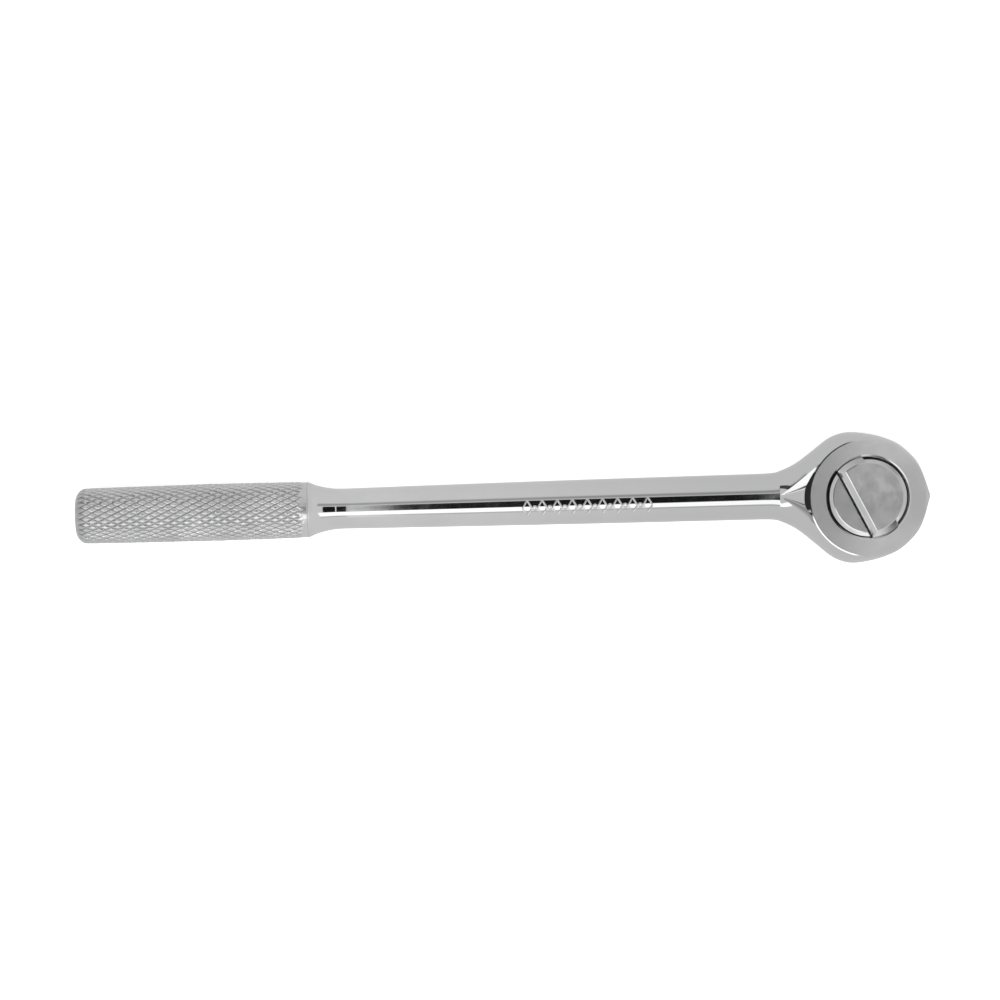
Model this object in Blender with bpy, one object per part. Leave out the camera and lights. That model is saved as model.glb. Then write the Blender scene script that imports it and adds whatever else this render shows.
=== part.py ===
"""Reversible ratchet wrench with a 3/8 inch square drive, a round head, a turning
reverser dial and a long knurled handle.

Lengths below are in millimetres and angles in degrees. The drive axis is Z, the
handle runs toward -X, and z = 0 is the flat tip of the square drive.
"""

import math

import bmesh
import bpy
from mathutils import Matrix, Vector

MM = 0.001

# Handle, along X from the grip's end to the head
MID_Z = 17.6
GRIP_END_X = -173.8
GRIP_END_R = 5.99
GRIP_EDGE_R = 2.3
GRIP_SWELL_X = -142.0
GRIP_SWELL_R = 6.21
GRIP_STOP_X = -122.7
GRIP_STOP_R = 6.08
SHANK_START_X = -114.2
SHANK_START_R = 4.42
SHANK_END_X = -24.0
SHANK_END_R = 5.04
SHANK_SWELL = 0.1
SECTION_STEPS = 12

# The forged handle meets the head a little to one side of the drive axis
HANDLE_OFFSET_Y = 0.75
OFFSET_BLEND_X = (-21.0, -2.0)

# Head forging: half width and half width of the flat at stations along X
HEAD_BOTTOM_Z = 11.2
NECK_BOTTOM_X = (-24.0, -9.0)
NECK_FORM_X = (-20.4, -17.4)
FLANK_START = 40.0
FLANK_DEPTH = 4.2
HEAD_STATIONS = (
    (-24.0, 5.04, 0.6),
    (-21.0, 5.1, 0.6),
    (-18.8, 5.6, 0.9),
    (-15.4, 7.25, 3.0),
    (-11.8, 10.1, 6.1),
    (-8.4, 12.9, 9.1),
    (-5.6, 14.1, 11.2),
    (-3.0, 14.4, 12.1),
    (0.6, 14.0, 12.2),
    (4.0, 13.1, 11.4),
    (7.6, 11.3, 9.6),
    (11.1, 8.1, 6.2),
    (12.8, 4.8, 3.2),
    (13.7, 2.0, 1.0),
)
HEAD_TIP_X = 13.93

# The scooped top of the neck rises from the shank's crest to the boss
SCOOP_START_X = -18.4
SCOOP_FLOOR_X = -5.0
SCOOP_RIM_X = -9.5
SCOOP_FLOOR_SPREAD = 0.34
HEAD_TOP_Z = 23.8
STATION_SUBDIVISIONS = 3

# Round boss around the dial, and the bores inside the head
BOSS_R = 12.65
BOSS_TOP_Z = 24.0
BOSS_CHAMFER = (0.27, 0.12)
BOSS_FOOT_SHIFT = 0.6
BOSS_FOOT_R = 13.55
BOSS_FOOT_Z = 22.9
DIAL_HOLE_R = 9.0
DIAL_HOLE_CHAMFER = 0.3
BORE_R = 10.6
BORE_TOP_Z = 21.9
PLATE_SEAT_R = 11.4
PLATE_SEAT_Z = 13.35
GROOVE_R = 12.1
GROOVE_Z = (11.65, 12.55)
ROUND_STEPS = 64

# Drive gear with its hub, pilot and square
GEAR_TEETH = 48
GEAR_TIP_R = 10.3
GEAR_ROOT_R = 9.65
GEAR_TIP_LAND = 1.2
GEAR_ROOT_LAND = 1.0
GEAR_Z = (13.6, 18.5)
HUB_R = 6.6
HUB_BOTTOM_Z = 10.75
PILOT_R = 2.8
PILOT_TOP_Z = 20.0
SQUARE_HALF = 4.7625
SQUARE_CORNER_R = 0.8
SQUARE_TIP_CHAMFER = 0.7
SQUARE_TOP_Z = 11.2

# Ball and spring in the square's side
BALL_R = 1.6
BALL_OUT = 0.6
BALL_Z = 4.9
BALL_HOLE_R = 1.66
BALL_MOUTH_R = 1.32
BALL_MOUTH_DEPTH = 0.6
BALL_HOLE_END_Y = 2.2
BALL_SPRING_R = 1.2
BALL_SPRING_WIRE_R = 0.17
BALL_SPRING_TURNS = 4

# Cover plate and retaining ring under the head
PLATE_R = 11.3
PLATE_HOLE_R = 6.75
PLATE_Z = (12.6, 13.3)
RING_R = 11.95
RING_INNER_R = 10.75
RING_Z = (11.75, 12.45)
RING_GAP_HALF = 16.0
RING_LUG_END = 30.0
RING_LUG_INNER_R = 9.3
RING_LUG_HOLE_R = 0.55

# Thrust washer between the gear and the dial
WASHER_R = 9.5
WASHER_HOLE_R = 3.0
WASHER_Z = (18.65, 19.15)

# Reverser dial
DIAL_ANGLE = 26.5
DIAL_R = 8.56
DIAL_WING_R = 8.89
DIAL_RAISED_R = 8.4
DIAL_WING_SPAN = (71, 107)
DIAL_FLANGE_R = 9.6
DIAL_FLANGE_Z = (19.35, 21.7)
DIAL_LOW_Z = 24.7
DIAL_HIGH_Z = 26.2
DIAL_EDGE = 0.9
DIAL_STEP = (-3.94, -2.95, -1.89)
DIAL_PILOT_R = 2.95
DIAL_PILOT_TOP_Z = 20.3
LUG_R = 11.0
LUG_HALF = 7.3
SEAL_R = 8.42
SEAL_WIRE_R = 0.42
SEAL_Z = 22.9

# Plunger and spring in the dial's lug, along the dial's lug direction
PLUNGER_Z = 20.5
PLUNGER_R = 0.8
PLUNGER_HOLE_R = 0.87
PLUNGER_TIP = 11.75
PLUNGER_LENGTH = 3.1
PLUNGER_HOLE_START = 5.0
PLUNGER_SPRING_R = 0.58
PLUNGER_SPRING_WIRE_R = 0.13
PLUNGER_SPRING_TURNS = 6

# Pawl: a rocking crescent whose round back sits in a seat in the head
PAWL_PIVOT_X = -13.2
PAWL_HUB_R = 3.0
PAWL_SEAT_R = 3.08
PAWL_ROCK_HALF = 8.0
PAWL_Z = (13.8, 21.6)
PAWL_TIER_Z = 18.56
PAWL_END_RHO = 7.2
PAWL_BACK_ANGLE = 100.0
PAWL_CORNER_ANGLE = 71.7
PAWL_INNER_ANGLE = 48.0
GEAR_CLEARANCE = 0.135
CAM_CLEARANCE = 0.12
CAM_SPAN = 27.0
POCKET_Z = (13.6, 21.8)
POCKET_CLEARANCE = 0.3

CHROME = ((0.70, 0.70, 0.71), 0.12, 1.0)
DIAL_STEEL = ((0.62, 0.62, 0.63), 0.22, 1.0)
DRIVE_STEEL = ((0.56, 0.56, 0.57), 0.25, 1.0)
INNER_STEEL = ((0.42, 0.42, 0.43), 0.35, 1.0)
SPRING_STEEL = ((0.30, 0.30, 0.32), 0.35, 1.0)
BRONZE = ((0.55, 0.36, 0.16), 0.35, 1.0)
BLACK_RUBBER = ((0.015, 0.015, 0.015), 0.55, 0.0)


def clear_scene():
    for obj in list(bpy.data.objects):
        bpy.data.objects.remove(obj, do_unlink=True)


def polar(radius, degrees):
    angle = math.radians(degrees)
    return Vector((radius * math.cos(angle), radius * math.sin(angle)))


def make_material(name, look):
    colour, roughness, metallic = look
    material = bpy.data.materials.new(name)
    material.use_nodes = True
    shader = material.node_tree.nodes["Principled BSDF"]
    shader.inputs["Base Color"].default_value = (*colour, 1.0)
    shader.inputs["Roughness"].default_value = roughness
    shader.inputs["Metallic"].default_value = metallic
    return material


def make_object(name, bm, origin=(0.0, 0.0, 0.0)):
    """Close a bmesh drawn in millimetres into an object whose origin is at origin."""
    bmesh.ops.recalc_face_normals(bm, faces=bm.faces[:])
    bmesh.ops.translate(bm, verts=bm.verts[:], vec=-Vector(origin))
    bmesh.ops.scale(bm, verts=bm.verts[:], vec=(MM, MM, MM))
    mesh = bpy.data.meshes.new(name)
    bm.to_mesh(mesh)
    bm.free()
    obj = bpy.data.objects.new(name, mesh)
    obj.location = Vector(origin) * MM
    bpy.context.collection.objects.link(obj)
    return obj


def add_loft(bm, rings):
    """Extrude a first ring through the others, leaving both ends capped."""
    first = bm.faces.new([bm.verts.new(point) for point in rings[0]])
    cap = first
    for ring in rings[1:]:
        behind = cap
        grown = bmesh.ops.extrude_face_region(bm, geom=[behind])["geom"]
        cap = next(item for item in grown if isinstance(item, bmesh.types.BMFace))
        if behind is not first:
            bmesh.ops.delete(bm, geom=[behind], context="FACES_ONLY")
        for loop, point in zip(cap.loops, ring):
            loop.vert.co = point


def loft(name, rings, origin=(0.0, 0.0, 0.0)):
    bm = bmesh.new()
    add_loft(bm, rings)
    return make_object(name, bm, origin)


def prism(name, outline, z_range, origin=(0.0, 0.0, 0.0)):
    """Extrude a flat XY outline between two heights."""
    rings = [[Vector((point[0], point[1], z)) for point in outline] for z in z_range]
    return loft(name, rings, origin)


def turned(name, profile, steps=ROUND_STEPS, place=None, origin=(0.0, 0.0, 0.0)):
    """Turn a solid from (radius, height) pairs; place moves it off the Z axis."""
    place = place or Matrix.Identity(4)
    rings = []
    for radius, height in profile:
        ring = []
        for step in range(steps):
            x, y = polar(radius, 360.0 * (step + 0.5) / steps)
            ring.append(place @ Vector((x, y, height)))
        rings.append(ring)
    return loft(name, rings, origin)


def ring_body(name, profile, steps=ROUND_STEPS):
    """Spin a closed (radius, height) profile into a ring around Z."""
    bm = bmesh.new()
    verts = [bm.verts.new((radius, 0.0, height)) for radius, height in profile]
    edges = [bm.edges.new((verts[i - 1], verts[i])) for i in range(len(verts))]
    bmesh.ops.spin(
        bm,
        geom=verts + edges,
        cent=(0.0, 0.0, 0.0),
        axis=(0.0, 0.0, 1.0),
        angle=math.tau,
        steps=steps,
        use_merge=True,
        use_duplicate=False,
    )
    return make_object(name, bm)


def boolean(target, operation, tool):
    """Join or cut target with a hidden tool object."""
    tool.hide_render = True
    tool.hide_viewport = True
    tool.display_type = "WIRE"
    modifier = target.modifiers.new(tool.name, "BOOLEAN")
    modifier.operation = operation
    modifier.solver = "EXACT"
    modifier.object = tool


def coil(name, centre, direction, radius, wire, length, turns):
    """A compression spring that starts at centre and runs along direction."""
    steps = 12
    curve = bpy.data.curves.new(name, "CURVE")
    curve.dimensions = "3D"
    curve.bevel_depth = wire * MM
    curve.bevel_resolution = 1
    curve.use_fill_caps = True
    spline = curve.splines.new("POLY")
    total = turns * steps
    spline.points.add(total)
    turn = Vector((0.0, 0.0, 1.0)).rotation_difference(Vector(direction)).to_matrix()
    for index in range(total + 1):
        across = polar(radius, 360.0 * index / steps)
        along = wire + (length - 2.0 * wire) * index / total
        point = turn @ Vector((across.x, across.y, along))
        spline.points[index].co = (*(point * MM), 1.0)
    obj = bpy.data.objects.new(name, curve)
    obj.location = Vector(centre) * MM
    bpy.context.collection.objects.link(obj)
    return obj


def eased(value):
    value = min(max(value, 0.0), 1.0)
    return value * value * (3.0 - 2.0 * value)


def blend_between(x, limits):
    start, end = limits
    return eased((x - start) / (end - start))


def round_quarter(radius):
    """Points (across, up) of a quarter circle, from its crest to its side."""
    points = []
    for step in range(SECTION_STEPS):
        offset = polar(radius, 90.0 * (step + 0.5) / SECTION_STEPS)
        points.append(Vector((offset.y, offset.x)))
    return points


def neck_quarter(half_width, flat, floor, floor_z, rim_z):
    """Scoop floor, rim, then a flank that rolls over into the side wall."""
    points = [Vector((floor, floor_z)), Vector((flat, rim_z))]
    depth = min(FLANK_DEPTH, rim_z)
    start = math.radians(FLANK_START)
    across = (half_width - flat) / (1.0 - math.sin(start))
    up = depth / math.cos(start)
    steps = SECTION_STEPS - 2
    for step in range(1, steps + 1):
        turn = start + (math.pi / 2.0 - start) * step / steps
        y = half_width - across * (1.0 - math.sin(turn))
        points.append(Vector((y, rim_z - depth + up * math.cos(turn))))
    return points


def place_section(x, upper, lower):
    """Mirror two quarters of (across, distance from mid height) into a section."""
    middle = HANDLE_OFFSET_Y * (1.0 - blend_between(x, OFFSET_BLEND_X))
    outline = [(point.x, point.y) for point in reversed(upper)]
    outline += [(-point.x, point.y) for point in upper]
    outline += [(-point.x, -point.y) for point in reversed(lower)]
    outline += [(point.x, -point.y) for point in lower]
    return [Vector((x, middle + y, MID_Z + z)) for y, z in outline]


def round_section(x, radius):
    quarter = round_quarter(radius)
    return place_section(x, quarter, quarter)


def handle_sections():
    """Round sections of the grip, its shoulder and the tapered shank."""
    rings = []
    for step in range(5):
        angle = math.radians(90.0 * step / 4.0)
        x = GRIP_END_X + GRIP_EDGE_R * (1.0 - math.sin(angle))
        radius = GRIP_END_R - GRIP_EDGE_R * (1.0 - math.cos(angle))
        rings.insert(0, round_section(x, radius))
    for step in range(1, 5):
        part = step / 4.0
        x = GRIP_END_X + GRIP_EDGE_R + (GRIP_SWELL_X - GRIP_END_X - GRIP_EDGE_R) * part
        radius = GRIP_END_R + (GRIP_SWELL_R - GRIP_END_R) * math.sin(part * math.pi / 2)
        rings.append(round_section(x, radius))
    rings.append(round_section(GRIP_STOP_X - 0.4, GRIP_STOP_R))
    for step in range(7):
        part = step / 6.0
        x = GRIP_STOP_X + (SHANK_START_X - GRIP_STOP_X) * part
        drop = (1.0 - part) ** 2.2
        radius = SHANK_START_R + (GRIP_STOP_R - 0.1 - SHANK_START_R) * drop
        rings.append(round_section(x, radius))
    for step in range(1, 6):
        part = step / 6.0
        x = SHANK_START_X + (SHANK_END_X - SHANK_START_X) * part
        radius = SHANK_START_R + (SHANK_END_R - SHANK_START_R) * part
        radius += SHANK_SWELL * math.sin(part * math.pi)
        rings.append(round_section(x, radius))
    return rings


def spline_between(points, index, part):
    """Catmull-Rom point between station index and the next one."""
    last = len(points) - 1
    before = points[max(index - 1, 0)]
    start = points[index]
    end = points[index + 1]
    after = points[min(index + 2, last)]
    values = []
    for a, b, c, d in zip(before, start, end, after):
        value = 2.0 * b + (c - a) * part
        value += (2.0 * a - 5.0 * b + 4.0 * c - d) * part**2
        value += (3.0 * b - a - 3.0 * c + d) * part**3
        values.append(value / 2.0)
    return values


def rising(x, end_x):
    """Height above mid height of a ramp from the shank's crest to the head's top."""
    part = min(max((x - SCOOP_START_X) / (end_x - SCOOP_START_X), 0.0), 1.0)
    return SHANK_END_R + (HEAD_TOP_Z - MID_Z - SHANK_END_R) * part


def head_section(x, half_width, flat):
    floor = flat * SCOOP_FLOOR_SPREAD
    upper = neck_quarter(half_width, flat, floor, rising(x, SCOOP_FLOOR_X), rising(x, SCOOP_RIM_X))
    down = SHANK_END_R
    down += (MID_Z - HEAD_BOTTOM_Z - SHANK_END_R) * blend_between(x, NECK_BOTTOM_X)
    lower = neck_quarter(half_width, flat, floor, down, down)
    formed = blend_between(x, NECK_FORM_X)
    shank = round_quarter(half_width)
    upper = [start.lerp(end, formed) for start, end in zip(shank, upper)]
    lower = [start.lerp(end, formed) for start, end in zip(shank, lower)]
    return place_section(x, upper, lower)


def head_sections():
    rings = []
    for index in range(len(HEAD_STATIONS) - 1):
        for step in range(STATION_SUBDIVISIONS):
            part = step / STATION_SUBDIVISIONS
            rings.append(head_section(*spline_between(HEAD_STATIONS, index, part)))
    rings.append(head_section(*HEAD_STATIONS[-1]))
    rings.append(head_section(HEAD_TIP_X, 0.7, 0.4))
    return rings


def pawl_point(rho, degrees):
    """A point given about the pawl's pivot, with 0 degrees toward the drive axis."""
    offset = polar(rho, degrees)
    return Vector((PAWL_PIVOT_X + offset.x, offset.y))


def mirrored(points):
    """Complete an outline whose first half lies at y > 0."""
    return points + [Vector((point.x, -point.y)) for point in reversed(points)]


def pawl_blank_outline():
    half = [pawl_point(PAWL_HUB_R, angle) for angle in range(175, int(PAWL_BACK_ANGLE), -10)]
    half.append(pawl_point(PAWL_HUB_R, PAWL_BACK_ANGLE))
    for step in range(5):
        part = step / 4.0
        angle = PAWL_CORNER_ANGLE + (PAWL_INNER_ANGLE - PAWL_CORNER_ANGLE) * part
        half.append(pawl_point(PAWL_END_RHO, angle))
    half.append(Vector((PAWL_PIVOT_X + 5.4, 3.0)))
    return mirrored(half)


def pocket_outline():
    """The room that the pawl's arms sweep, with clearance, open to the bore."""
    rho = PAWL_END_RHO + POCKET_CLEARANCE
    half = [pawl_point(PAWL_SEAT_R - 0.4, 112.0)]
    half.append(pawl_point(PAWL_SEAT_R + 0.12, 112.0))
    for step in range(7):
        part = step / 6.0
        angle = PAWL_CORNER_ANGLE + PAWL_ROCK_HALF + 2.5
        angle += (PAWL_INNER_ANGLE - 1.0 - angle) * part
        half.append(pawl_point(rho, angle))
    half.append(Vector((PAWL_PIVOT_X + 5.4, 3.0)))
    return mirrored(half)


def gear_outline(grow=0.0):
    """Symmetric ratchet teeth with a gap centred on the X axis."""
    pitch = 360.0 / GEAR_TEETH
    points = []
    for tooth in range(GEAR_TEETH):
        middle = pitch * (tooth + 0.5)
        gap = pitch * (tooth + 1)
        points.append(polar(GEAR_TIP_R + grow, middle - GEAR_TIP_LAND / 2.0))
        points.append(polar(GEAR_TIP_R + grow, middle + GEAR_TIP_LAND / 2.0))
        points.append(polar(GEAR_ROOT_R + grow, gap - GEAR_ROOT_LAND / 2.0))
        points.append(polar(GEAR_ROOT_R + grow, gap + GEAR_ROOT_LAND / 2.0))
    return points


def turned_about_pawl(points, degrees):
    spin = Matrix.Rotation(math.radians(degrees), 2)
    pivot = Vector((PAWL_PIVOT_X, 0.0))
    return [pivot + spin @ (Vector(point) - pivot) for point in points]


def cam_outline():
    """Inner wall of the pawl's upper tier, which the plunger's tip follows."""
    rise = math.radians(PAWL_ROCK_HALF) / math.radians(DIAL_ANGLE)
    points = [Vector((2.0, -9.0)), Vector((2.0, 9.0))]
    for angle in range(57, -58, -3):
        limited = max(-CAM_SPAN, min(CAM_SPAN, angle))
        swing = math.radians(limited)
        radius = PLUNGER_TIP + CAM_CLEARANCE
        radius += rise * swing * PAWL_PIVOT_X * math.sin(swing)
        points.append(polar(radius, 180.0 - angle))
    return points


def disc_outline(radius, steps=ROUND_STEPS):
    return [polar(radius, 360.0 * (step + 0.5) / steps) for step in range(steps)]


def build_boss():
    """The round boss; its foot spreads out toward the neck only."""
    chamfer_out, chamfer_down = BOSS_CHAMFER
    levels = (
        (0.0, BOSS_R - 1.5, BOSS_FOOT_Z - 3.0),
        (-BOSS_FOOT_SHIFT, BOSS_FOOT_R, BOSS_FOOT_Z - 1.4),
        (-BOSS_FOOT_SHIFT, BOSS_FOOT_R, BOSS_FOOT_Z),
        (0.0, BOSS_R + chamfer_out, BOSS_TOP_Z - chamfer_down),
        (0.0, BOSS_R, BOSS_TOP_Z),
    )
    rings = []
    for shift, radius, z in levels:
        outline = disc_outline(radius)
        rings.append([Vector((shift + point.x, point.y, z)) for point in outline])
    return loft("join_boss", rings)


def build_body():
    body = loft("ratchet_body", handle_sections() + head_sections())
    boolean(body, "UNION", build_boss())
    bore = turned(
        "cut_bore",
        (
            (PLATE_SEAT_R + 0.3, HEAD_BOTTOM_Z - 1.0),
            (PLATE_SEAT_R + 0.3, HEAD_BOTTOM_Z + 0.1),
            (PLATE_SEAT_R, HEAD_BOTTOM_Z + 0.35),
            (PLATE_SEAT_R, GROOVE_Z[0]),
            (GROOVE_R, GROOVE_Z[0]),
            (GROOVE_R, GROOVE_Z[1]),
            (PLATE_SEAT_R, GROOVE_Z[1]),
            (PLATE_SEAT_R, PLATE_SEAT_Z),
            (BORE_R, PLATE_SEAT_Z),
            (BORE_R, BORE_TOP_Z),
            (DIAL_HOLE_R, BORE_TOP_Z),
            (DIAL_HOLE_R, BOSS_TOP_Z - DIAL_HOLE_CHAMFER),
            (DIAL_HOLE_R + DIAL_HOLE_CHAMFER, BOSS_TOP_Z),
            (DIAL_HOLE_R + DIAL_HOLE_CHAMFER, BOSS_TOP_Z + 1.0),
        ),
    )
    boolean(body, "DIFFERENCE", bore)
    pivot = Matrix.Translation((PAWL_PIVOT_X, 0.0, 0.0))
    seat = turned(
        "cut_pawl_seat",
        ((PAWL_SEAT_R, POCKET_Z[0]), (PAWL_SEAT_R, POCKET_Z[1])),
        steps=48,
        place=pivot,
    )
    boolean(body, "DIFFERENCE", seat)
    boolean(body, "DIFFERENCE", prism("cut_pocket", pocket_outline(), POCKET_Z))
    return body


def build_drive():
    gear = prism("drive_gear", gear_outline(), GEAR_Z)
    spindle = turned(
        "join_spindle",
        (
            (HUB_R - 0.4, HUB_BOTTOM_Z),
            (HUB_R, HUB_BOTTOM_Z + 0.4),
            (HUB_R, GEAR_Z[0] + 1.0),
            (PILOT_R, GEAR_Z[0] + 1.0),
            (PILOT_R, PILOT_TOP_Z - 0.3),
            (PILOT_R - 0.3, PILOT_TOP_Z),
        ),
        steps=48,
    )
    boolean(gear, "UNION", spindle)
    rings = []
    levels = (
        (0.0, SQUARE_HALF - SQUARE_TIP_CHAMFER),
        (SQUARE_TIP_CHAMFER, SQUARE_HALF),
        (SQUARE_TOP_Z, SQUARE_HALF),
    )
    for z, half in levels:
        ring = []
        for quarter in range(4):
            for step in range(4):
                turn = quarter + step / 3.0
                corner = polar(SQUARE_CORNER_R, 90.0 * turn)
                side = half - SQUARE_CORNER_R
                sign_x = 1.0 if quarter in (0, 3) else -1.0
                sign_y = 1.0 if quarter in (0, 1) else -1.0
                ring.append(Vector((sign_x * side + corner.x, sign_y * side + corner.y, z)))
        rings.append(ring)
    boolean(gear, "UNION", loft("join_square", rings))
    across = Matrix.Translation((0.0, 0.0, BALL_Z)) @ Matrix.Rotation(math.pi / 2, 4, "X")
    hole = turned(
        "cut_ball_hole",
        (
            (BALL_HOLE_R, -BALL_HOLE_END_Y),
            (BALL_HOLE_R, SQUARE_HALF - BALL_MOUTH_DEPTH),
            (BALL_MOUTH_R, SQUARE_HALF),
            (BALL_MOUTH_R, SQUARE_HALF + 1.0),
        ),
        steps=32,
        place=across,
    )
    boolean(gear, "DIFFERENCE", hole)
    return gear


def build_ball():
    bm = bmesh.new()
    bmesh.ops.create_uvsphere(bm, u_segments=24, v_segments=12, radius=BALL_R)
    centre = Vector((0.0, -(SQUARE_HALF + BALL_OUT - BALL_R), BALL_Z))
    bmesh.ops.translate(bm, verts=bm.verts[:], vec=centre)
    return make_object("tang_ball", bm, centre)


def build_ball_spring():
    start = SQUARE_HALF + BALL_OUT - 2.0 * BALL_R - 0.1
    length = start + BALL_HOLE_END_Y - 0.1
    return coil(
        "tang_ball_spring",
        (0.0, -start, BALL_Z),
        (0.0, 1.0, 0.0),
        BALL_SPRING_R,
        BALL_SPRING_WIRE_R,
        length,
        BALL_SPRING_TURNS,
    )


def ring_profile(outer, inner, z_range):
    low, high = z_range
    return ((inner, low), (outer, low), (outer, high), (inner, high))


def build_retaining_ring():
    """An internal ring with a gap toward +X and a drilled ear at each end."""
    outline = []
    for angle in range(int(RING_GAP_HALF), int(360 - RING_GAP_HALF) + 1, 4):
        outline.append(polar(RING_R, angle))
    gap = RING_GAP_HALF
    ear = RING_LUG_END
    outline.append(polar(RING_LUG_INNER_R, 360.0 - gap))
    outline.append(polar(RING_LUG_INNER_R, 360.0 - ear + 2.0))
    for angle in range(int(360 - ear), int(ear) - 1, -4):
        outline.append(polar(RING_INNER_R, angle))
    outline.append(polar(RING_LUG_INNER_R, ear - 2.0))
    outline.append(polar(RING_LUG_INNER_R, gap))
    ring = prism("retaining_ring", outline, RING_Z)
    for side in (-1.0, 1.0):
        spot = polar((RING_LUG_INNER_R + RING_R) / 2.0 - 0.3, side * (gap + ear) / 2.0)
        hole = turned(
            "cut_ear_hole_left" if side < 0 else "cut_ear_hole_right",
            ((RING_LUG_HOLE_R, RING_Z[0] - 1.0), (RING_LUG_HOLE_R, RING_Z[1] + 1.0)),
            steps=16,
            place=Matrix.Translation((spot.x, spot.y, 0.0)),
        )
        boolean(ring, "DIFFERENCE", hole)
    return ring


def build_dial():
    dial = turned(
        "reverser_dial",
        (
            (DIAL_FLANGE_R, DIAL_FLANGE_Z[0]),
            (DIAL_FLANGE_R, DIAL_FLANGE_Z[1]),
            (DIAL_R, DIAL_FLANGE_Z[1]),
            (DIAL_R, SEAL_Z - 0.5),
            (SEAL_R - SEAL_WIRE_R - 0.05, SEAL_Z - 0.5),
            (SEAL_R - SEAL_WIRE_R - 0.05, SEAL_Z + 0.5),
            (DIAL_R, SEAL_Z + 0.5),
            (DIAL_R, DIAL_LOW_Z - 0.5),
            (DIAL_R - DIAL_EDGE, DIAL_LOW_Z),
        ),
        steps=72,
    )
    facing = Matrix.Rotation(math.radians(DIAL_ANGLE), 4, "Z")
    raised = turned(
        "join_dial_raised",
        (
            (DIAL_RAISED_R, DIAL_LOW_Z - 1.0),
            (DIAL_RAISED_R, DIAL_HIGH_Z - 0.6),
            (DIAL_RAISED_R - DIAL_EDGE, DIAL_HIGH_Z),
        ),
        steps=72,
    )
    wing_angles = range(DIAL_WING_SPAN[0], DIAL_WING_SPAN[1] + 1, 4)
    wing = [polar(DIAL_WING_R, angle) for angle in wing_angles]
    wing += [polar(DIAL_RAISED_R - 1.0, angle) for angle in reversed(wing_angles)]
    for side in ("left", "right"):
        if side == "right":
            wing = [Vector((point.x, -point.y)) for point in wing]
        piece = prism(f"join_wing_{side}", wing, (SEAL_Z + 0.6, DIAL_HIGH_Z - 0.9))
        piece.matrix_world = facing
        boolean(raised, "UNION", piece)
    groove, low, high = DIAL_STEP
    width = DIAL_WING_R + 1.0
    step_profile = (
        (-width, DIAL_LOW_Z),
        (groove, DIAL_LOW_Z),
        (low, DIAL_LOW_Z - 0.3),
        (low, DIAL_HIGH_Z - 0.6),
        (high, DIAL_HIGH_Z),
        (high, DIAL_HIGH_Z + 1.0),
        (-width, DIAL_HIGH_Z + 1.0),
    )
    rings = [[Vector((x, y, z)) for x, z in step_profile] for y in (-width, width)]
    step_cut = loft("cut_dial_step", rings)
    step_cut.matrix_world = facing
    boolean(raised, "DIFFERENCE", step_cut)
    raised.matrix_world = facing
    boolean(dial, "UNION", raised)
    lug = [polar(LUG_R, LUG_HALF * step / 4.0) for step in range(-4, 5)]
    lug += [polar(DIAL_FLANGE_R - 2.0, LUG_HALF), polar(DIAL_FLANGE_R - 2.0, -LUG_HALF)]
    lug = [-point for point in lug]
    lug_body = prism("join_dial_lug", lug, (DIAL_FLANGE_Z[0] + 0.02, DIAL_FLANGE_Z[1] - 0.02))
    lug_body.matrix_world = facing
    boolean(dial, "UNION", lug_body)
    pilot = turned(
        "cut_dial_pilot",
        ((DIAL_PILOT_R, DIAL_FLANGE_Z[0] - 1.0), (DIAL_PILOT_R, DIAL_PILOT_TOP_Z)),
        steps=48,
    )
    boolean(dial, "DIFFERENCE", pilot)
    outward = Matrix.Translation((0.0, 0.0, PLUNGER_Z)) @ Matrix.Rotation(-math.pi / 2, 4, "Y")
    hole = turned(
        "cut_plunger_hole",
        ((PLUNGER_HOLE_R, PLUNGER_HOLE_START), (PLUNGER_HOLE_R, LUG_R + 2.0)),
        steps=24,
        place=outward,
    )
    hole.matrix_world = facing
    boolean(dial, "DIFFERENCE", hole)
    return dial


def build_plunger():
    outward = polar(1.0, 180.0 + DIAL_ANGLE)
    start = PLUNGER_TIP - PLUNGER_LENGTH
    profile = [(PLUNGER_R - 0.15, start), (PLUNGER_R, start + 0.15)]
    for step in range(6):
        angle = math.radians(85.0 * step / 5.0)
        along = PLUNGER_TIP - PLUNGER_R + PLUNGER_R * math.sin(angle)
        profile.append((PLUNGER_R * math.cos(angle), along))
    facing = Matrix.Rotation(math.radians(DIAL_ANGLE), 4, "Z")
    lay_down = Matrix.Rotation(-math.pi / 2, 4, "Y")
    place = Matrix.Translation((0.0, 0.0, PLUNGER_Z)) @ facing @ lay_down
    origin = (outward.x * start, outward.y * start, PLUNGER_Z)
    return turned("plunger", profile, steps=24, place=place, origin=origin)


def build_plunger_spring():
    outward = polar(1.0, 180.0 + DIAL_ANGLE)
    start = PLUNGER_HOLE_START + 0.1
    end = PLUNGER_TIP - PLUNGER_LENGTH - 0.1
    return coil(
        "plunger_spring",
        (outward.x * start, outward.y * start, PLUNGER_Z),
        (outward.x, outward.y, 0.0),
        PLUNGER_SPRING_R,
        PLUNGER_SPRING_WIRE_R,
        end - start,
        PLUNGER_SPRING_TURNS,
    )


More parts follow.
